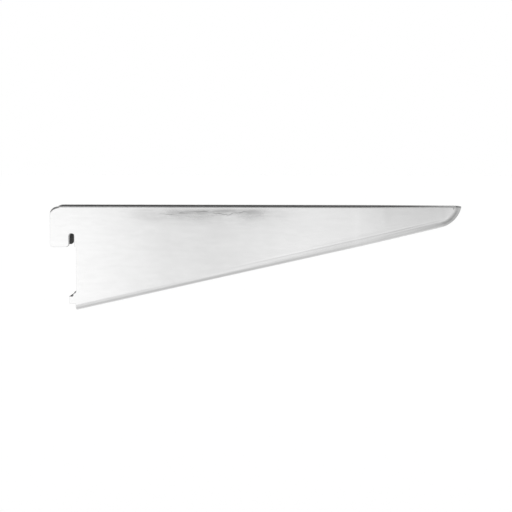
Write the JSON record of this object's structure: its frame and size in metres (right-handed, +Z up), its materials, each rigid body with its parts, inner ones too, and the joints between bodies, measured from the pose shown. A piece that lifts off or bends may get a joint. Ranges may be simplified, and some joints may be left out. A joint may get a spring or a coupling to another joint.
{
  "type": "slotted shelf bracket",
  "caption": "Folded steel shelf bracket: open-top tapering channel with a closed round nose, slotted hooks and tabs that hang it in a twin-slotted upright.",
  "frame": {"origin": "in the bracket's middle plane, where the plane of the upright's front face meets the plane of the shelf's underside, which is the cheeks' top edges", "axes": "+X from the upright towards the nose, +Y across the channel, +Z up"},
  "size_m": [0.1805, 0.0126, 0.0458],
  "materials": {
    "bright_plated_steel": "bright zinc plate on cold rolled sheet, satin with faint rolling lines"
  },
  "bodies": {
    "root": {"bracket": "bright_plated_steel"}
  },
  "joints": []
}
